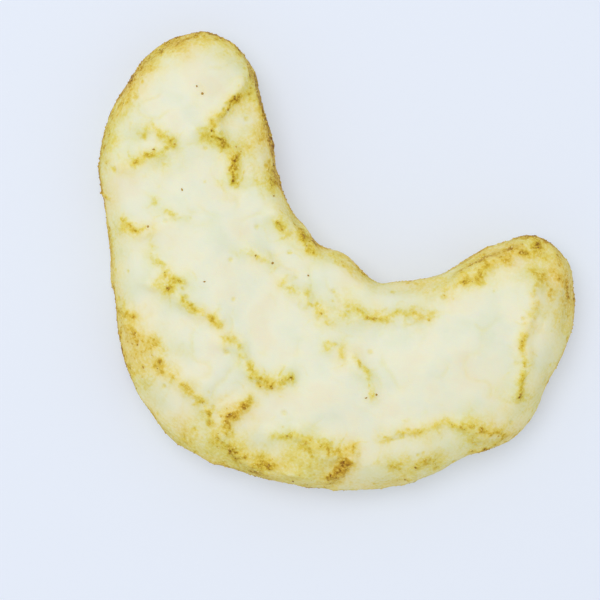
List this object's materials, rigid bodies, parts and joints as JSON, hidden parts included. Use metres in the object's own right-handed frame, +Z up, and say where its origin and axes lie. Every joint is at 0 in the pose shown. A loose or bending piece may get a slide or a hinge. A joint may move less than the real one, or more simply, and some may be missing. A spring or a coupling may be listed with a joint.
{
  "type": "rice cracker",
  "caption": "Puffed, baked rice cracker in a plump crescent, with a pale glazed skin, low browned wrinkles and a round tip at each end.",
  "frame": {"origin": "on the resting plane, under the middle of the cracker's box", "axes": "+X along the chord from the wide arm to the narrow arm, +Y towards the arm tips, +Z up, out of the glazed face"},
  "size_m": [0.0582, 0.0418, 0.0093],
  "materials": {
    "baked_rice": "satin cream glaze over baked rice, golden brown on the wrinkles and rim"
  },
  "bodies": {
    "root": {"cracker": "baked_rice"}
  },
  "joints": []
}
